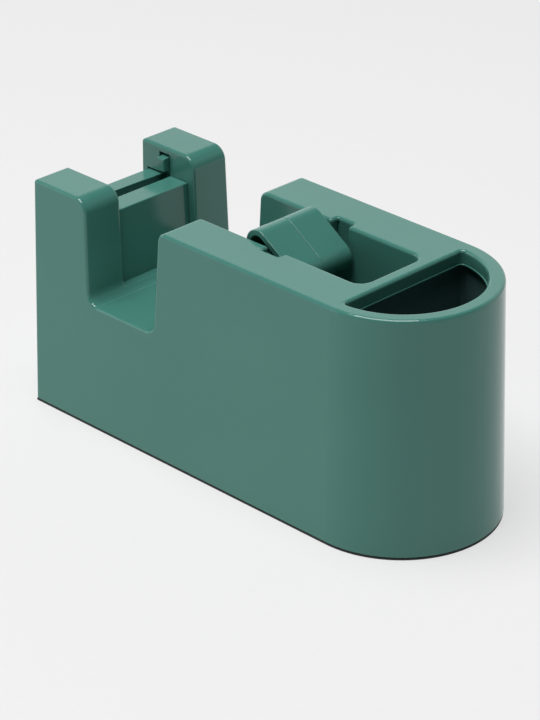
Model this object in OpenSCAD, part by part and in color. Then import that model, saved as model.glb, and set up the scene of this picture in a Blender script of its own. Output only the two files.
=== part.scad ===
// Desktop tape dispenser with a pen cup.
// Frame: X along the length (cutting end at -X, pen cup at +X), Y across,
// Z up from the desk. The origin is the middle of the footprint.
// Inside place() X is counted from the front edge of the deck.

/* [Body] */
// Length of the body along its top
body_len = 166.4; // [164:0.2:170]
// Width of the body at its top
body_w = 63; // [62.6:0.2:64]
// Height of the deck above the desk
body_h = 81.2; // [80.8:0.2:84]
// How far each side stands out at the foot
draft = 1.65; // [1.2:0.05:2]
// Thickness of the moulded walls
wall = 2.4; // [2.2:0.1:2.5]
// Thickness of the pad under the base
pad_t = 0.9; // [0.6:0.1:1.2]

/* [Posts and notch] */
// Width of each post, across the body
post_w = 15; // [14.8:0.1:15.2]
// Length of each post at its top
post_len = 25; // [24.9:0.1:26]
// Backward lean of the post's rear face, mm per mm of height
post_lean = 0.026; // [0.02:0.002:0.05]
// Height of the notch floor
notch_z = 45; // [44.6:0.1:45.6]
// Where the rear body starts, at its top
body_x = 59.3; // [58.8:0.1:60]
// Forward lean of the rear body's front face, mm per mm of height
body_lean = 0.07; // [0.05:0.002:0.09]
// Radius on top of the posts
post_r = 5; // [3:0.1:6]
// Radius on top of the rear body's front
body_r = 3; // [2:0.1:4]
// Radius at the foot of the notch
notch_r = 4; // [3:0.1:5]

/* [Tape bay] */
// Inner half width of the bay
bay_hw = 13.8; // [13.75:0.05:14]
// Rear end of the bay
bay_back = 130.8; // [130.4:0.1:130.9]
// Height of the bay floor
bay_floor = 30; // [27:0.5:34]
// Corner radius at the bay's rear end
bay_r = 4.2; // [3:0.1:5]
// Depth of the axle grooves
groove_d = 3.1; // [3:0.1:3.2]
// Centre of the groove's entry, from the front
groove_x = 94.9; // [94.8:0.1:95.2]
// Width of the groove's entry
groove_w = 7.4; // [7.2:0.1:7.8]

/* [Tape hub] */
// Axle centre from the front
axle_x = 88.6; // [88.2:0.1:89]
// Axle centre above the desk
axle_z = 71.8; // [71.5:0.1:72.1]
// Axle radius
axle_r = 3.4; // [3.2:0.05:3.45]
// Radius of the circle round the hub's corners
hub_rc = 13.2; // [12.8:0.1:13.4]
// Corner radius of the hub
hub_r = 5; // [4:0.1:5.5]
// Half the hub's width
hub_hw = 12.65; // [12.2:0.05:12.65]
// Turn of the hub at rest, degrees
hub_turn = -3; // [-10:1:10]

/* [Cutter] */
// Front face of the tape rest
rest_x0 = 14; // [13.8:0.1:14.2]
// Rear face of the tape rest
rest_x1 = 22.2; // [22:0.1:22.3]
// Top of the tape rest
rest_z = 71.8; // [71.2:0.1:72.2]
// Height of the shelf behind the tape rest, above the notch floor
shelf_h = 1.3; // [0.8:0.1:1.4]
// Top of the guard bar
guard_z = 71; // [70.6:0.1:71.2]
// Front face of the guard bar
guard_x0 = 2.6; // [2.5:0.1:2.9]
// Rear face of the guard bar
guard_x1 = 8.6; // [8.4:0.1:8.7]
// Pitch of the blade's teeth
tooth_pitch = 1.3; // [1.1:0.1:1.8]

/* [Pen cup] */
// Radius of the pen opening in the deck
pen_r = 26.3; // [26:0.1:26.3]
// Straight side of the pen opening, from the front
pen_x = 135.6; // [135.6:0.1:136]
// Depth of the collar under the deck
collar = 5; // [4:0.5:6]

/* [Hidden] */

$fn = 64;
green = "#5d9388";
tail_x = body_len - body_w/2;        // centre of the round tail
ph = body_w/2 - post_w;              // half the gap between the posts
floor_u = notch_z - wall;            // underside of the notch floor
shelf_z = notch_z + shelf_h;         // shelf between the posts
rest_xb = rest_x1 + 0.043*(rest_z - shelf_z); // foot of its leaning rear face
slot_x1 = rest_x0 - 0.5;             // rear edge of the guard's slots
bay_x = body_x - body_lean*(body_h - notch_z) + 2; // bay front wall, inner
// half width and front edge of the drafted body at height z
function hw(z, ins=0) = body_w/2 + draft*(1 - z/body_h) - ins;
function fx(z, ins=0) = -draft*(1 - z/body_h) + ins;
// faces of the notch at height z
function px(z) = post_len + post_lean*(body_h - z);
function bx(z) = body_x - body_lean*(body_h - z);
cp = sqrt(1 + post_lean*post_lean);
e = 0.003;                           // rounds cross their flats by this much
cb = sqrt(1 + body_lean*body_lean);

// base plate and screw places
base_z1 = pad_t + 2.2;
base_pts = [for (x = [14.5, 66, 126]) for (s = [-1, 1]) [x, s*26.9]];
ballast_pts = [[55, 0], [103, 0]];
// cutter frame
fr_z0 = 37; fr_z1 = 40.1;
frame_pts = [[29, -22], [29, 22], [4.2, -27], [4.2, 27]];
rest_pts = [[18.1, -10], [18.1, 10]];
blade_y = [-8, 8];
guard_drop = 4;                      // travel of the guard
ear_z = 52;                          // underside of the guard's feet
spring_x = 8; spring_y = 22.3;
blade_hw = 14.3;

module place() translate([-body_len/2, 0, 0]) children();
// 2D profile in X-Z drawn out along Y
module xz(y0, y1) translate([0, y1, 0]) rotate([90, 0, 0])
    linear_extrude(y1 - y0) children();
// 2D profile in Y-Z drawn out along X
module yz(x0, x1) translate([x0, 0, 0]) rotate([90, 0, 90])
    linear_extrude(x1 - x0) children();
module block(a, b) translate(a) cube([b[0]-a[0], b[1]-a[1], b[2]-a[2]]);
module mirror_y() { children(); mirror([0, 1, 0]) children(); }

// Body outline with draft, inset by ins, between heights z0 and z1
module drafted(ins, z0, z1) {
    intersection() {
        yz(-10, tail_x) polygon([[-hw(z0,ins), z0], [hw(z0,ins), z0],
                                 [hw(z1,ins), z1], [-hw(z1,ins), z1]]);
        xz(-body_w, body_w) polygon([[fx(z0,ins), z0], [tail_x, z0],
                                     [tail_x, z1], [fx(z1,ins), z1]]);
    }
    intersection() {
        translate([tail_x, 0, z0])
            cylinder(h=z1 - z0, r1=hw(z0,ins), r2=hw(z1,ins));
        block([tail_x, -body_w, z0 - 1], [tail_x + body_w, body_w, z1 + 1]);
    }
}

// What the notch takes out of the side view, with its radii
module notch_2d() {
    zc = notch_z + notch_r;
    pc = px(zc) + notch_r*cp;  bc = bx(zc) - notch_r*cb;
    polygon([[px(body_h + 5), body_h + 5],
             [pc - notch_r/cp, zc - notch_r*post_lean/cp],
             [pc, notch_z], [bc, notch_z],
             [bc + notch_r/cb, zc - notch_r*body_lean/cb],
             [bx(body_h + 5), body_h + 5]]);
    translate([pc, zc]) circle(notch_r + e);
    translate([bc, zc]) circle(notch_r + e);
    // convex radius on the posts
    zp = body_h - post_r;  xp = px(zp) - post_r*cp;
    difference() {
        polygon([[xp, body_h], [xp, zp],
                 [xp + post_r/cp, zp + post_r*post_lean/cp],
                 [px(zp) + 1, zp + 0.5], [px(body_h) + 1, body_h + 1],
                 [xp, body_h + 1]]);
        translate([xp, zp]) circle(post_r + e);
    }
    // convex radius on the rear body
    zb = body_h - body_r;  xb = bx(zb) + body_r*cb;
    difference() {
        polygon([[xb, body_h], [xb, zb],
                 [xb - body_r/cb, zb + body_r*body_lean/cb],
                 [bx(zb) - 1, zb + 0.5], [bx(body_h) - 1, body_h + 1],
                 [xb, body_h + 1]]);
        translate([xb, zb]) circle(body_r + e);
    }
}

// D-shaped outline: arc of radius r round the tail centre, straight at x0,
// its two corners rounded and tangent to the arc
module d_2d(r, x0, rc=1.5) {
    dx = x0 + rc - tail_x;
    yc = sqrt(pow(r - rc, 2) - dx*dx);
    intersection() {
        translate([tail_x, 0]) circle(r);
        polygon([[x0, 0], [x0 + rc, yc], [tail_x + 3*dx, 3*yc],
                 [tail_x + 4*r, 3*yc], [tail_x + 4*r, -3*yc],
                 [tail_x + 3*dx, -3*yc], [x0 + rc, -yc]]);
    }
    translate([x0, -yc]) square([rc, 2*yc]);
    for (s = [-1, 1]) translate([x0 + rc, s*yc]) circle(rc + e);
}

// Plan of the bay, with round corners at its rear end
module bay_2d(g=0) {
    x1 = bay_back + g; h = bay_hw + g; r = bay_r + g;
    translate([0, -h]) square([x1 - r, 2*h]);
    translate([x1 - r - 0.1, -h + r]) square([r + 0.1, 2*(h - r)]);
    for (s = [-1, 1]) translate([x1 - r, s*(h - r)]) circle(r + e);
}

// Groove for one axle end: straight entry, then forward to the seat
module groove_2d() {
    translate([groove_x - groove_w/2, axle_z - 3.5])
        square([groove_w, body_h]);
    translate([axle_x, axle_z - 3.5])
        square([groove_x - axle_x, 7]);
    translate([axle_x, axle_z]) circle(3.5 + e);
}

module shell_hollow() {
    difference() {
        intersection() {
            drafted(wall, -1, body_h - wall);
            union() {
                // under the notch floor, full length
                block([-10, -body_w, -2], [body_len + 5, body_w, floor_u]);
                // inside the posts
                mirror_y() xz(ph + wall, body_w) polygon([
                    [-9, floor_u - 1], [px(floor_u - 1) - wall, floor_u - 1],
                    [px(body_h) - wall, body_h], [-9, body_h]]);
                // inside the rear body
                xz(-body_w + 1, body_w - 1) polygon([
                    [bx(floor_u - 1) + wall, floor_u - 1],
                    [body_len + 4, floor_u - 1], [body_len + 4, body_h],
                    [bx(body_h) + wall, body_h]]);
            }
        }
        // walls and floor of the tape bay
        intersection() {
            translate([0, 0, bay_floor - wall]) linear_extrude(body_h)
                bay_2d(wall);
            block([bay_x - wall, -body_w, 0], [body_len, body_w, body_h]);
        }
        // collar of the pen opening
        block([bay_back + 1, -body_w, body_h - collar],
              [body_len + 5, body_w, body_h]);
    }
}

module outer_shell() color(green) place() {
    difference() {
        union() {
            difference() {
                drafted(0, pad_t, body_h);
                shell_hollow();
                // notch through the whole width
                xz(-body_w, body_w) notch_2d();
                // gap between the posts: down to a low shelf behind the
                // tape rest, down into the hollow in front of it
                block([rest_x1, -ph, shelf_z], [px(0) + 4, ph, body_h + 5]);
                block([wall, -ph, 0], [rest_xb + 0.05, ph, body_h + 5]);
            }
            // thick places round the axle grooves
            mirror_y() block([82, bay_hw + 1, axle_z - 6.5],
                             [102.5, bay_hw + groove_d + 2.2, body_h - 1]);
            // bosses
            intersection() {
                drafted(0.6, pad_t, body_h - 0.5);
                union() {
                    for (p = base_pts) {
                        translate([p[0], p[1], base_z1 + 0.05])
                            cylinder(h=27, r=3);
                        block([p[0] - 1, min(p[1], sign(p[1])*body_w/2),
                               base_z1 + 0.05],
                              [p[0] + 1, max(p[1], sign(p[1])*body_w/2),
                               base_z1 + 27.05]);
                    }
                    for (p = frame_pts) translate([p[0], p[1], fr_z1 + 0.05])
                        cylinder(h=(p[0] > 20 ? floor_u - fr_z1 : 7.2), r=2.8);
                    // stops above the guard's feet
                    mirror_y() block([6, 22.4, ear_z + 2.05],
                                     [10, body_w, ear_z + 4]);
                }
            }
        }
        // gap above the front wall between the posts
        block([-10, -ph, guard_z - 5 - guard_drop - 0.3],
              [rest_x1 + 0.05, ph, body_h + 5]);
        // bay, open at its front above the notch floor
        intersection() {
            translate([0, 0, bay_floor]) linear_extrude(body_h) bay_2d();
            union() {
                block([bay_x, -body_w, 0], [body_len, body_w, body_h + 9]);
                block([bay_x - 8, -body_w, notch_z],
                      [body_len, body_w, body_h + 9]);
            }
        }
        // pen opening, with a fine mould line round its lower edge
        translate([0, 0, body_h - collar - 1]) linear_extrude(collar + 9)
            d_2d(pen_r - 0.25, pen_x + 0.25);
        translate([0, 0, body_h - collar + 0.45]) linear_extrude(collar + 9)
            d_2d(pen_r, pen_x);
        // axle grooves
        mirror_y() xz(bay_hw - 1, bay_hw + groove_d) groove_2d();
        // guard slots through the posts' inner walls
        mirror_y() {
            block([guard_x0 - 0.25, ph - 1, guard_z - 9.4],
                  [guard_x1 + 0.2, ph + wall + 0.01, guard_z + 0.6]);
            block([guard_x1 - 3.6, ph - 1, ear_z - 6],
                  [guard_x1 + 0.2, ph + wall + 0.01, guard_z + 0.6]);
            block([guard_x1 - 0.1, ph - 1, ear_z - 6],
                  [slot_x1, ph + wall + 0.01, 79]);
        }
        // screw holes
        for (p = base_pts) translate([p[0], p[1], base_z1 - 1])
            cylinder(h=13, r=1.25);
        for (p = frame_pts) translate([p[0], p[1], fr_z1 - 1])
            cylinder(h=(p[0] > 20 ? 4.4 : 7.6), r=1.25);
    }
}

module base_plate() color("#3f6f66") place() difference() {
    drafted(wall + 0.15, pad_t, base_z1);
    for (p = base_pts) translate([p[0], p[1], pad_t - 1]) {
        cylinder(h=5, r=1.3);
        cylinder(h=2.2, r=2.8);
    }
    for (p = ballast_pts) translate([p[0], p[1], pad_t - 1]) {
        cylinder(h=5, r=2.05);
        cylinder(h=2.3, r=3.7);
    }
}

// Pan-head screw pointing up, its head's underside at z=0
module screw_up(len, r, head_r, head_h) {
    translate([0, 0, -head_h]) cylinder(h=head_h, r=head_r);
    translate([0, 0, -0.01]) cylinder(h=len, r=r);
}

module base_screws() color("silver") place()
    for (p = base_pts) translate([p[0], p[1], pad_t + 1.2])
        screw_up(11, 1.2, 2.6, 1.1);

module foot_pad() color("#24282a") place() drafted(0.12, 0, pad_t);

module ballast_block() color("#6b6e70") place() difference() {
    block([40, -20, base_z1], [118, 20, base_z1 + 12]);
    for (p = ballast_pts) translate([p[0], p[1], base_z1 - 1])
        cylinder(h=9.5, r=2);
}

module ballast_screws() color("silver") place()
    for (p = ballast_pts) translate([p[0], p[1], pad_t + 1.3])
        screw_up(8.5, 1.95, 3.5, 1.2);

// Liner under the pen opening, its wall set back behind the collar
module pen_cup() color("#2c4a44") place() {
    zt = body_h - collar - 0.05;
    difference() {
        translate([0, 0, base_z1 + 0.05])
            linear_extrude(zt - base_z1 - 0.05)
            d_2d(pen_r + 2.7, pen_x - 2.1, 3);
        translate([0, 0, base_z1 + 2.05]) linear_extrude(body_h)
            d_2d(pen_r + 1.6, pen_x - 1, 1.9);
    }
}

module tape_rest() color(green) place() difference() {
    union() {
        xz(-ph + 0.15, ph - 0.15) polygon([
            [rest_x0, fr_z1 + 0.05], [rest_xb, fr_z1 + 0.05],
            [rest_xb, shelf_z], [rest_x1, rest_z], [rest_x0, rest_z]]);
        block([rest_x0, -ph + 0.15, fr_z1 + 0.05],
              [27, ph - 0.15, floor_u - 0.05]);
    }
    // hollow from below, leaving bosses for the screws
    difference() {
        block([rest_x0 + 2, -ph + 2.2, fr_z1 - 1],
              [rest_x1 - 2, ph - 2.2, rest_z - 2]);
        for (p = rest_pts) translate([p[0], p[1], fr_z1 - 1])
            cylinder(h=12, r=3);
        for (y = blade_y) block([rest_x0 + 1, y - 2.6, 60],
                                [rest_x0 + 5.5, y + 2.6, 66]);
    }
    for (p = rest_pts) translate([p[0], p[1], fr_z1 - 1])
        cylinder(h=10, r=1.25);
    for (y = blade_y) translate([rest_x0 - 1, y, 63]) rotate([0, 90, 0])
        cylinder(h=6.5, r=1.05);
}

module rest_screws() color("silver") place()
    for (p = rest_pts) translate([p[0], p[1], fr_z0])
        screw_up(11, 1.2, 2.4, 1.6);

module cutter_frame() color("#3f6f66") place() {
    difference() {
        block([2.2, -29, fr_z0], [33, 29, fr_z1]);
        for (p = rest_pts) translate([p[0], p[1], fr_z0 - 1])
            cylinder(h=6, r=1.3);
        for (p = frame_pts) translate([p[0], p[1], fr_z0 - 1])
            cylinder(h=6, r=1.3);
        // clearance for the base bosses as the frame goes in
        mirror_y() block([11, 23.6, 0], [18, 30, 60]);
    }
    mirror_y() translate([spring_x, spring_y, fr_z1 - 0.5])
        cylinder(h=5.9, r=1.5);
}

module frame_screws() color("silver") place()
    for (p = frame_pts) translate([p[0], p[1], fr_z0])
        screw_up(p[0] > 20 ? 6 : 9, 1.2, 2.4, 1.6);

// Serrated strip: the teeth follow the pitch
module cutter_blade() color("#c9ccce") place() difference() {
    n = floor(2*blade_hw/tooth_pitch);
    p = 2*blade_hw/n;
    yz(rest_x0 - 0.6, rest_x0) polygon(concat(
        [[blade_hw, 59.5], [-blade_hw, 59.5]],
        [for (i = [0:n-1]) each [[-blade_hw + i*p, guard_z - 1.4],
                                 [-blade_hw + (i + 0.5)*p, guard_z - 0.2]]],
        [[blade_hw, guard_z - 1.4]]));
    for (y = blade_y) translate([rest_x0 - 2, y, 63]) rotate([0, 90, 0])
        cylinder(h=4, r=1.1);
}

module blade_clamp() color("#3f6f66") place() difference() {
    block([rest_x0 - 2, -blade_hw, 60], [rest_x0 - 0.6, blade_hw, 66.5]);
    for (y = blade_y) translate([rest_x0 - 3, y, 63]) rotate([0, 90, 0])
        cylinder(h=4, r=1.1);
}

module blade_screws() color("silver") place()
    for (y = blade_y) translate([rest_x0 - 2, y, 63]) rotate([0, 90, 0])
        screw_up(7, 1, 1.9, 1.2);

module blade_guard() color(green) place() {
    // bar between the posts
    block([guard_x0, -ph - wall + 0.1, guard_z - 5],
          [guard_x1, ph + wall - 0.1, guard_z]);
    // apron and links to the ears
    block([guard_x1 - 3.4, -ph - wall - 0.5, ear_z],
          [guard_x1, ph + wall + 0.5, guard_z]);
    mirror_y() {
        // ear inside the post
        block([3.4, ph + wall + 0.1, ear_z],
              [slot_x1 - 0.4, ph + wall + 2.3, 78]);
        // foot on the spring
        block([5, ph + wall + 0.5, ear_z], [11, 25, ear_z + 2]);
        // peg that stands out of the slot
        block([guard_x1 + 0.6, ph - 2.2, 72.9],
              [slot_x1 - 0.4, ph + wall + 0.5, 78]);
    }
}

// Compression spring: a round wire swept along a helix
module coil(r, rw, h, turns, step=14, sides=8) {
    n = turns*step;
    function c(i) = let(a = 360*i/step)
        [r*cos(a), r*sin(a), rw + (h - 2*rw)*i/n];
    pts = [for (i = [0:n]) let(a = 360*i/step) for (k = [0:sides-1])
        let(b = 360*k/sides) [(r + rw*cos(b))*cos(a),
                              (r + rw*cos(b))*sin(a),
                              c(i)[2] + rw*sin(b)]];
    faces = concat([[for (k = [0:sides-1]) k]],
        [for (i = [0:n-1]) for (k = [0:sides-1]) let(m = (k+1)%sides)
            [i*sides + k, (i+1)*sides + k, (i+1)*sides + m, i*sides + m]],
        [[for (k = [sides-1:-1:0]) n*sides + k]]);
    polyhedron(points=pts, faces=faces, convexity=6);
}
module guard_spring_near() color("silver") place()
    translate([spring_x, -spring_y, fr_z1]) coil(2.1, 0.3, ear_z - fr_z1, 5);
module guard_spring_far() color("silver") place()
    translate([spring_x, spring_y, fr_z1]) coil(2.1, 0.3, ear_z - fr_z1, 5);

// Rounded triangle round the axle
module tri_2d(rc, r, turn) {
    a = rc - r;
    polygon([for (k = [0:2]) for (s = [-60, 60])
        let(t = turn + 120*k)
        [a*cos(t) + r*cos(t + s), a*sin(t) + r*sin(t + s)]]);
    for (k = [0:2]) translate([a*cos(turn + 120*k), a*sin(turn + 120*k)])
        circle(r + e);
}

// One half of the hub from the parting plane out to y = side*hub_hw
module hub_half(side) {
    y0 = side < 0 ? -hub_hw : 0;
    module band(a, b) if (side < 0) xz(-b, -a) children(); else xz(a, b) children();
    translate([axle_x, 0, axle_z]) {
        band(0, hub_hw) difference() {
            tri_2d(hub_rc, hub_r, hub_turn);
            tri_2d(hub_rc - 2, hub_r - 2, hub_turn);
        }
        band(0, 1.6) difference() {
            tri_2d(hub_rc - 1, hub_r - 1, hub_turn);
            circle(axle_r + 0.08);
            if (side > 0) for (k = [0:2]) rotate(hub_turn + 120*k)
                translate([8, 0]) circle(1.06);
        }
        band(0, hub_hw - 0.25) difference() {
            circle(5.6);
            circle(axle_r + 0.08);
        }
        if (side < 0) xz(-0.5, 1.5) for (k = [0:2])
            rotate(hub_turn + 120*k) translate([8, 0]) circle(1);
    }
}
module hub_near() color(green) place() hub_half(-1);
module hub_far() color(green) place() hub_half(1);

module hub_axle() color("#d9dcdd") place() translate([axle_x, 0, axle_z])
    difference() {
        union() {
            xz(-bay_hw - groove_d + 0.2, bay_hw + groove_d - 0.2)
                circle(axle_r);
            xz(-bay_hw + 0.2, -hub_hw - 0.1) circle(5);
        }
        xz(hub_hw + 0.2, hub_hw + 0.9) difference() {
            circle(6); circle(2.6);
        }
    }

module axle_clip() color("silver") place()
    translate([axle_x, 0, axle_z]) xz(hub_hw + 0.25, hub_hw + 0.85)
    difference() {
        circle(5.2); circle(2.65);
        translate([-1.8, -6]) square([3.6, 6]);
    }

outer_shell();
base_plate();
base_screws();
foot_pad();
ballast_block();
ballast_screws();
pen_cup();
tape_rest();
rest_screws();
cutter_frame();
frame_screws();
cutter_blade();
blade_clamp();
blade_screws();
blade_guard();
guard_spring_near();
guard_spring_far();
hub_axle();
axle_clip();
hub_near();
hub_far();
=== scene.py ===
import math

import bpy
from mathutils import Matrix, Vector

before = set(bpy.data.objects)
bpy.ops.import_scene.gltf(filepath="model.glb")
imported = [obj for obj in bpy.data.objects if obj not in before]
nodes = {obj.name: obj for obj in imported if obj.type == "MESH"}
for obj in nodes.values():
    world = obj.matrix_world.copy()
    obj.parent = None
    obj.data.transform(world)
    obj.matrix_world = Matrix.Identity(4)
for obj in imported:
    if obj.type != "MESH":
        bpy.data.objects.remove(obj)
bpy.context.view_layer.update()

# --------------------------------------------------------------- materials


def new_material(name):
    m = bpy.data.materials.new(name)
    m.use_nodes = True
    nt = m.node_tree
    nt.nodes.clear()
    out = nt.nodes.new("ShaderNodeOutputMaterial")
    bsdf = nt.nodes.new("ShaderNodeBsdfPrincipled")
    nt.links.new(bsdf.outputs["BSDF"], out.inputs["Surface"])
    return m, nt, bsdf


def noise(nt, vector, scale, detail=3.0, rough=0.5):
    n = nt.nodes.new("ShaderNodeTexNoise")
    n.inputs["Scale"].default_value = scale
    n.inputs["Detail"].default_value = detail
    n.inputs["Roughness"].default_value = rough
    nt.links.new(vector, n.inputs["Vector"])
    return n.outputs["Fac"]


def stretched(nt, vector, scale):
    m = nt.nodes.new("ShaderNodeMapping")
    m.inputs["Scale"].default_value = scale
    nt.links.new(vector, m.inputs["Vector"])
    return m.outputs["Vector"]


def ramp(nt, fac, stops):
    r = nt.nodes.new("ShaderNodeValToRGB")
    el = r.color_ramp.elements
    while len(el) < len(stops):
        el.new(0.5)
    for e, (p, c) in zip(el, stops):
        e.position = p
        e.color = (c, c, c, 1.0) if isinstance(c, float) else (*c, 1.0)
    nt.links.new(fac, r.inputs["Fac"])
    return r.outputs["Color"]


def math_node(nt, op, a, b):
    n = nt.nodes.new("ShaderNodeMath")
    n.operation = op
    for i, v in enumerate((a, b)):
        if isinstance(v, (int, float)):
            n.inputs[i].default_value = v
        else:
            nt.links.new(v, n.inputs[i])
    return n.outputs[0]


def map_range(nt, v, a, b, c, d):
    n = nt.nodes.new("ShaderNodeMapRange")
    n.inputs["From Min"].default_value = a
    n.inputs["From Max"].default_value = b
    n.inputs["To Min"].default_value = c
    n.inputs["To Max"].default_value = d
    nt.links.new(v, n.inputs["Value"])
    return n.outputs["Result"]


def bump(nt, bsdf, height, strength, distance, normal=None):
    b = nt.nodes.new("ShaderNodeBump")
    b.inputs["Strength"].default_value = strength
    b.inputs["Distance"].default_value = distance
    nt.links.new(height, b.inputs["Height"])
    if normal is not None:
        nt.links.new(normal, b.inputs["Normal"])
    nt.links.new(b.outputs["Normal"], bsdf.inputs["Normal"])
    return b.outputs["Normal"]


def object_coords(nt):
    return nt.nodes.new("ShaderNodeTexCoord").outputs["Object"]


def abs_plastic(name, dark, light, rough=0.13, ior=1.5, grain=0.035):
    """Polished injection-moulded plastic: faint flow marks in the colour, an even gloss with
    slight haze, and the soft ripple of a moulded wall."""
    m, nt, b = new_material(name)
    p = object_coords(nt)
    flow = noise(nt, stretched(nt, p, (9.0, 26.0, 14.0)), 1.0, 4.0, 0.55)
    speck = noise(nt, p, 1400.0, 2.0, 0.6)
    mixed = math_node(nt, "ADD", math_node(nt, "MULTIPLY", flow, 0.8), math_node(nt, "MULTIPLY", speck, 0.2))
    nt.links.new(ramp(nt, mixed, [(0.36, dark), (0.64, light)]), b.inputs["Base Color"])
    haze = noise(nt, p, 38.0, 5.0, 0.6)
    fine = noise(nt, p, 2600.0, 2.0, 0.5)
    r = math_node(nt, "ADD", map_range(nt, haze, 0.3, 0.7, rough - 0.02, rough + 0.03), map_range(nt, fine, 0.3, 0.7, -0.012, 0.012))
    nt.links.new(r, b.inputs["Roughness"])
    b.inputs["IOR"].default_value = ior
    ripple = noise(nt, p, 55.0, 1.0, 0.4)
    peel = noise(nt, p, 900.0, 2.0, 0.5)
    h = math_node(nt, "ADD", ripple, math_node(nt, "MULTIPLY", peel, 0.06))
    bump(nt, b, h, grain, 0.004)
    return m


def mould_line_painted_highlight(m, x_mm, half_mm, z_mm, y_mm, colour):
    """Fine mould line across the notch's floor, duller than the plastic around it; its lighter colour is a
    painted highlight.
    """
    nt = m.node_tree
    b = next(n for n in nt.nodes if n.type == "BSDF_PRINCIPLED")
    sep = nt.nodes.new("ShaderNodeSeparateXYZ")
    nt.links.new(object_coords(nt), sep.inputs["Vector"])

    def near(v, at, half, soft):
        d = math_node(nt, "ABSOLUTE", math_node(nt, "SUBTRACT", v, at * 1e-3), 0.0)
        return map_range(nt, d, (half - soft) * 1e-3, (half + soft) * 1e-3, 1.0, 0.0)

    on = math_node(nt, "MULTIPLY", near(sep.outputs["X"], x_mm - 83.2, half_mm, 0.05), near(sep.outputs["Z"], z_mm, 0.6, 0.05))
    on = math_node(nt, "MULTIPLY", on, near(sep.outputs["Y"], 0.0, y_mm, 0.6))
    # the lighter base colour mixed in along the line is a painted highlight; the higher roughness makes it
    # duller
    for name, to in (("Base Color", colour), ("Roughness", 0.3)):
        old = b.inputs[name].links[0].from_socket
        mix = nt.nodes.new("ShaderNodeMix")
        mix.data_type = "RGBA" if name == "Base Color" else "FLOAT"
        ins = [k for k in mix.inputs if k.enabled]
        nt.links.new(on, ins[0])
        nt.links.new(old, ins[1])
        ins[2].default_value = (*to, 1.0) if name == "Base Color" else to
        nt.links.new([k for k in mix.outputs if k.enabled][0], b.inputs[name])


def matte_plastic(name, dark, light, rough=0.55):
    """Spark-eroded surface of a part that isn't seen in use."""
    m, nt, b = new_material(name)
    p = object_coords(nt)
    a = noise(nt, p, 60.0, 4.0, 0.6)
    nt.links.new(ramp(nt, a, [(0.3, dark), (0.7, light)]), b.inputs["Base Color"])
    g = noise(nt, p, 3200.0, 3.0, 0.7)
    nt.links.new(map_range(nt, g, 0.3, 0.7, rough - 0.06, rough + 0.08), b.inputs["Roughness"])
    b.inputs["IOR"].default_value = 1.5
    bump(nt, b, g, 0.35, 0.0002)
    return m


def rubber(name, dark, light):
    """Closed-cell foam rubber: fine pores and a dull surface."""
    m, nt, b = new_material(name)
    p = object_coords(nt)
    v = nt.nodes.new("ShaderNodeTexVoronoi")
    v.inputs["Scale"].default_value = 1600.0
    nt.links.new(p, v.inputs["Vector"])
    d = v.outputs["Distance"]
    a = noise(nt, p, 120.0, 3.0, 0.5)
    nt.links.new(ramp(nt, a, [(0.3, dark), (0.7, light)]), b.inputs["Base Color"])
    nt.links.new(map_range(nt, d, 0.0, 0.6, 0.9, 0.75), b.inputs["Roughness"])
    b.inputs["IOR"].default_value = 1.45
    bump(nt, b, d, 0.5, 0.0003)
    return m


def steel(name, dark, light, rough, grain_axis, scratch=0.25):
    """Drawn, turned or ground steel with its grain along one axis."""
    m, nt, b = new_material(name)
    p = object_coords(nt)
    s = [2600.0, 2600.0, 2600.0]
    if grain_axis is not None:
        s[grain_axis] = 60.0
    grain = noise(nt, stretched(nt, p, s), 1.0, 4.0, 0.65)
    cloud = noise(nt, p, 90.0, 3.0, 0.5)
    mixed = math_node(nt, "ADD", math_node(nt, "MULTIPLY", grain, 0.6), math_node(nt, "MULTIPLY", cloud, 0.4))
    nt.links.new(ramp(nt, mixed, [(0.3, dark), (0.7, light)]), b.inputs["Base Color"])
    b.inputs["Metallic"].default_value = 1.0
    nt.links.new(map_range(nt, mixed, 0.3, 0.7, rough - 0.05, rough + 0.09), b.inputs["Roughness"])
    b.inputs["Anisotropic"].default_value = 0.3 if grain_axis is not None else 0.0
    bump(nt, b, grain, scratch, 0.00008)
    return m


green = abs_plastic("green_abs", (0.0555, 0.198, 0.163), (0.0605, 0.212, 0.175), ior=1.42)
# paints a painted highlight: a lighter, duller line across the notch's floor of the green moulding
mould_line_painted_highlight(green, 29.6, 0.13, 45.1, 30.0, (0.085, 0.26, 0.22))
green_hub = abs_plastic("green_abs_hub", (0.0555, 0.198, 0.163), (0.0605, 0.212, 0.175), rough=0.17, ior=1.42)
# Pen cup liner: its green is darkened to about half the shell's as painted shade for the deep well under the
# collar
cup_liner_painted_shade = abs_plastic("liner_green_painted_shade", (0.055, 0.118, 0.114), (0.064, 0.134, 0.130), rough=0.3)
dark = matte_plastic("dark_moulding", (0.016, 0.055, 0.046), (0.022, 0.070, 0.058))
pad = rubber("pad_foam", (0.012, 0.016, 0.015), (0.022, 0.027, 0.025))
bar_steel = steel("ballast_bar", (0.10, 0.10, 0.105), (0.16, 0.16, 0.165), 0.5, 0)
screw_steel = steel("screw_zinc", (0.44, 0.45, 0.46), (0.58, 0.59, 0.60), 0.32, None)
blade_steel = steel("blade_strip", (0.50, 0.51, 0.52), (0.62, 0.63, 0.64), 0.22, 1)
wire_steel = steel("spring_wire", (0.34, 0.35, 0.36), (0.46, 0.47, 0.48), 0.30, None)
rod_steel = steel("axle_rod", (0.48, 0.49, 0.50), (0.60, 0.61, 0.62), 0.24, 1)

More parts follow.
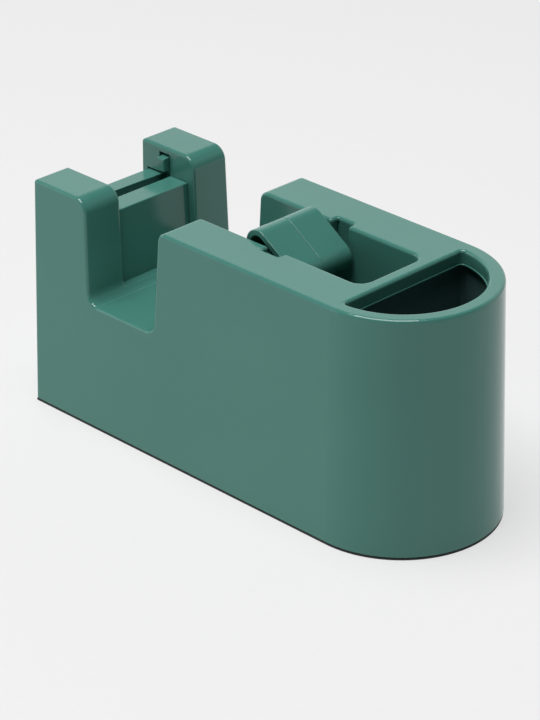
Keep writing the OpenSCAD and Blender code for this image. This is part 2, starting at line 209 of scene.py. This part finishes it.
MATERIAL = {
    "outer_shell": green, "tape_rest": green, "blade_guard": green,
    "hub_near": green_hub, "hub_far": green_hub, "pen_cup": cup_liner_painted_shade,
    "base_plate": dark, "cutter_frame": dark, "blade_clamp": dark,
    "foot_pad": pad, "ballast_block": bar_steel,
    "base_screws": screw_steel, "ballast_screws": screw_steel,
    "rest_screws": screw_steel, "frame_screws": screw_steel, "blade_screws": screw_steel,
    "cutter_blade": blade_steel,
    "guard_spring_near": wire_steel, "guard_spring_far": wire_steel, "axle_clip": wire_steel,
    "hub_axle": rod_steel,
}

# Edge radius of each moulding in millimetres
EDGE = {
    "outer_shell": 1.05, "tape_rest": 0.35, "blade_guard": 0.7,
    "hub_near": 0.3, "hub_far": 0.3, "pen_cup": 0.3, "base_plate": 0.25,
    "hub_axle": 0.25, "foot_pad": 0.2, "ballast_block": 0.6,
}

# Where edges are rounded and by what share of the part's radius. Each place is a box in
# millimetres, x from the front of the deck, |y|, z, and both ends of the edge lie inside it.
# A pair of shares runs from the lower to the upper end of the box, so that the radius changes
# little by little along an arc. Later places go over earlier ones.
PLACES = {
    "outer_shell": [
        ((-5, 170), (-1, 40), (0.5, 1.6), 0.3),             # lower rim
        ((18, 62), (29.5, 40), (44, 82), 1.0),              # outline of the notch, outside
        ((18, 29), (16, 17.2), (48.4, 82), 0.75),           # posts' inner rear edges
        ((18, 29), (16, 17.2), (46.2, 48.95), (0.3, 0.75)), # and their foot
        ((-1, 2), (16, 17.2), (47, 82), 0.5),               # posts' inner front edges
        ((-3, 1), (29.5, 40), (0.5, 82), 1.0),              # front corners
        ((54, 64), (13, 14.6), (48.4, 82), 0.8),            # front of the bay
        ((54, 64), (13, 14.6), (45.2, 48.95), (0.1, 0.8)),  # and its foot
        ((90, 100), (13, 17.6), (64, 82), 0.8),             # entry of the axle grooves
        ((130, 170), (-1, 30), (75.5, 77), 0.05),           # mould line of the collar
        ((1, 15), (16, 20), (44, 80), 0.2),                 # slots of the guard
        ((20, 32), (-1, 17.2), (46.25, 46.35), 0.25),       # shelf behind the tape rest
        ((18, 29), (16, 17.2), (77.5, 81.15), (0.75, 1.0)), # from the posts' edges up to the deck
        ((54, 64), (13, 14.6), (78, 81.15), (0.8, 1.0)),    # from the bay's front up to the deck
        ((-5, 170), (-1, 40), (81.0, 82), 1.0),             # deck
    ],
    "tape_rest": [
        ((12, 30), (-1, 17), (71.5, 75), 1.0),              # outline of the top
        ((12, 30), (16, 17), (44, 75), 1.0),                # ends
    ],
    "blade_guard": [
        ((2, 9.2), (-1, 19.5), (68, 75), 0.57),             # bar
        ((8.8, 14), (13, 20), (72, 79), 1.0),               # pegs
    ],
}


def edge_weights(o, places, least):
    """Write the share of the edge radius onto the edges that lie in the places given."""
    ng = bpy.data.node_groups.new("edge_weights", "GeometryNodeTree")
    ng.interface.new_socket(name="Geometry", in_out="INPUT", socket_type="NodeSocketGeometry")
    ng.interface.new_socket(name="Geometry", in_out="OUTPUT", socket_type="NodeSocketGeometry")
    new, link = ng.nodes.new, ng.links.new
    gin, gout = new("NodeGroupInput"), new("NodeGroupOutput")

    def vmath(op, a, b=None):
        n = new("ShaderNodeVectorMath")
        n.operation = op
        link(a, n.inputs[0])
        if b is not None:
            n.inputs[1].default_value = b
        return n.outputs[0]

    def math2(op, a, b):
        n = new("ShaderNodeMath")
        n.operation = op
        for i, v in enumerate((a, b)):
            if isinstance(v, (int, float)):
                n.inputs[i].default_value = v
            else:
                link(v, n.inputs[i])
        return n.outputs[0]

    ends = new("GeometryNodeInputMeshEdgeVertices")
    points = []
    for key in ("Position 1", "Position 2"):
        sep, com = new("ShaderNodeSeparateXYZ"), new("ShaderNodeCombineXYZ")
        link(ends.outputs[key], sep.inputs[0])
        link(sep.outputs[0], com.inputs[0])
        link(math2("ABSOLUTE", sep.outputs[1], 0.0), com.inputs[1])
        link(sep.outputs[2], com.inputs[2])
        points.append(com.outputs[0])
    weight = None
    for xs, ys, zs, share in places:
        lo = (xs[0] * 1e-3 - 0.0832, ys[0] * 1e-3, zs[0] * 1e-3)
        hi = (xs[1] * 1e-3 - 0.0832, ys[1] * 1e-3, zs[1] * 1e-3)
        mid = tuple((u + v) / 2 for u, v in zip(lo, hi))
        half = tuple((v - u) / 2 for u, v in zip(lo, hi))
        inside = None
        for p in points:
            d = vmath("DIVIDE", vmath("ABSOLUTE", vmath("SUBTRACT", p, mid)), half)
            sep = new("ShaderNodeSeparateXYZ")
            link(d, sep.inputs[0])
            far = math2("MAXIMUM", math2("MAXIMUM", sep.outputs[0], sep.outputs[1]), sep.outputs[2])
            ok = math2("LESS_THAN", far, 1.0)
            inside = ok if inside is None else math2("MULTIPLY", inside, ok)
        if isinstance(share, tuple):
            seps = []
            for p in points:
                sep = new("ShaderNodeSeparateXYZ")
                link(p, sep.inputs[0])
                seps.append(sep.outputs[2])
            up = math2("MULTIPLY", math2("ADD", seps[0], seps[1]), 0.5)
            up = math2("DIVIDE", math2("SUBTRACT", up, lo[2]), hi[2] - lo[2])
            share = math2("ADD", math2("MULTIPLY", up, share[1] - share[0]), share[0])
        here = math2("MULTIPLY", inside, share)
        if weight is None:
            weight = here
        else:
            keep = math2("MULTIPLY", weight, math2("SUBTRACT", 1.0, inside))
            weight = math2("ADD", keep, here)
    angle = new("GeometryNodeInputMeshEdgeAngle").outputs["Unsigned Angle"]
    weight = math2("MULTIPLY", weight, math2("GREATER_THAN", angle, math.radians(least)))
    store = new("GeometryNodeStoreNamedAttribute")
    store.data_type = "FLOAT"
    store.domain = "EDGE"
    store.inputs["Name"].default_value = "bevel_weight_edge"
    link(gin.outputs[0], store.inputs["Geometry"])
    link(weight, store.inputs["Value"])
    link(store.outputs["Geometry"], gout.inputs[0])
    m = o.modifiers.new("edge_weights", "NODES")
    m.node_group = ng


def dress(name):
    o = nodes[name]
    o.data.materials.clear()
    o.data.materials.append(MATERIAL[name])
    for p in o.data.polygons:
        p.material_index = 0
    w = o.modifiers.new("weld", "WELD")
    w.merge_threshold = 2e-6
    if name in EDGE:
        d = o.modifiers.new("flats", "DECIMATE")
        d.decimate_type = "DISSOLVE"
        d.angle_limit = math.radians(0.15)
        if name in PLACES:
            edge_weights(o, PLACES[name], 32)
        b = o.modifiers.new("edges", "BEVEL")
        b.width = EDGE[name] * 1e-3
        b.limit_method = "WEIGHT" if name in PLACES else "ANGLE"
        b.angle_limit = math.radians(32)
        b.segments = 4
        b.use_clamp_overlap = False
        b.miter_outer = "MITER_ARC"
        b.harden_normals = False
        n = o.modifiers.new("normals", "WEIGHTED_NORMAL")
        n.keep_sharp = True
        n.weight = 60


for name in nodes:
    dress(name)

# ------------------------------------------------------------------ stage


def make_floor():
    """A pale paper sweep lit from below and above, so it stays even and takes only a faint shadow."""
    me = bpy.data.meshes.new("floor")
    s = 6.0
    me.from_pydata([(-s, -s, 0), (s, -s, 0), (s, s, 0), (-s, s, 0)], [], [(0, 1, 2, 3)])
    o = bpy.data.objects.new("floor", me)
    o.location = (0, 0, -0.00002)
    bpy.context.scene.collection.objects.link(o)
    m, nt, b = new_material("paper")
    p = object_coords(nt)
    n = noise(nt, p, 300.0, 3.0, 0.5)
    nt.links.new(ramp(nt, n, [(0.3, 0.247), (0.7, 0.253)]), b.inputs["Base Color"])
    b.inputs["Roughness"].default_value = 0.9
    b.inputs["Specular IOR Level"].default_value = 0.0
    b.inputs["Emission Color"].default_value = (1.0, 1.0, 1.0, 1.0)
    b.inputs["Emission Strength"].default_value = 0.597
    me.materials.append(m)
    return o


make_floor()


def smooth(nt, v, a, b):
    m = nt.nodes.new("ShaderNodeMapRange")
    m.interpolation_type = "SMOOTHSTEP"
    m.inputs["From Min"].default_value = a
    m.inputs["From Max"].default_value = b
    nt.links.new(v, m.inputs["Value"])
    return m.outputs["Result"]


def make_world():
    """Studio surroundings: the pale sweep goes on behind the far left and ends above
    a third of the height; the rest of the room is dim."""
    world = bpy.data.worlds.new("studio")
    bpy.context.scene.world = world
    world.use_nodes = True
    wt = world.node_tree
    wt.nodes.clear()
    wo = wt.nodes.new("ShaderNodeOutputWorld")
    bg = wt.nodes.new("ShaderNodeBackground")
    wt.links.new(bg.outputs["Background"], wo.inputs["Surface"])
    bg.inputs["Color"].default_value = (1.0, 1.0, 1.0, 1.0)
    tc = wt.nodes.new("ShaderNodeTexCoord").outputs["Generated"]
    sep = wt.nodes.new("ShaderNodeSeparateXYZ")
    wt.links.new(tc, sep.inputs["Vector"])
    side = math_node(wt, "SUBTRACT", sep.outputs["Y"], sep.outputs["X"])
    sweep = math_node(wt, "MULTIPLY", smooth(wt, sep.outputs["Z"], 0.74, 0.49), smooth(wt, side, -0.25, 0.5))
    level = math_node(wt, "ADD", math_node(wt, "MULTIPLY", sweep, 0.95), 0.03)
    wt.links.new(level, bg.inputs["Strength"])


make_world()


def softbox(name, at, look, size, watts, colour=(1, 1, 1)):
    d = bpy.data.lights.new(name, "AREA")
    d.shape = "RECTANGLE"
    d.size, d.size_y = size
    d.energy = watts
    d.color = colour
    o = bpy.data.objects.new(name, d)
    o.location = at
    o.rotation_mode = "QUATERNION"
    o.rotation_quaternion = (Vector(at) - Vector(look)).to_track_quat("Z", "Y")
    bpy.context.scene.collection.objects.link(o)
    return o


# a large lamp nearly overhead, and a low fill at the near left
softbox("key", (-0.05, -0.25, 1.3), (0, 0, 0.05), (0.8, 0.8), 18.3)
softbox("fill", (-0.62, -0.62, 0.22), (-0.02, 0, 0.05), (0.5, 0.4), 1.2)

# ----------------------------------------------------------------- camera

AZ, EL, ROLL = 0.794, 0.4746, -0.0072
DIST = 0.9821148
TARGET = Vector((-0.0058888, 0.0, 0.0314065))
back = Vector((math.sin(AZ) * math.cos(EL), -math.cos(AZ) * math.cos(EL), math.sin(EL)))
right = (-back).cross(Vector((0, 0, 1))).normalized()
up = right.cross(-back)
r = right * math.cos(ROLL) + up * math.sin(ROLL)
u = -right * math.sin(ROLL) + up * math.cos(ROLL)
eye = TARGET + back * DIST
cd = bpy.data.cameras.new("camera")
cam = bpy.data.objects.new("camera", cd)
bpy.context.scene.collection.objects.link(cam)
cam.matrix_world = Matrix(((r.x, u.x, back.x, eye.x), (r.y, u.y, back.y, eye.y), (r.z, u.z, back.z, eye.z), (0, 0, 0, 1)))
cd.sensor_width = 36.0
cd.lens = 3035.7871 * 36.0 / 720.0
cd.clip_start, cd.clip_end = 0.05, 30.0
bpy.context.scene.camera = cam

bpy.context.scene.view_settings.view_transform = "Standard"
bpy.context.scene.view_settings.look = "None"
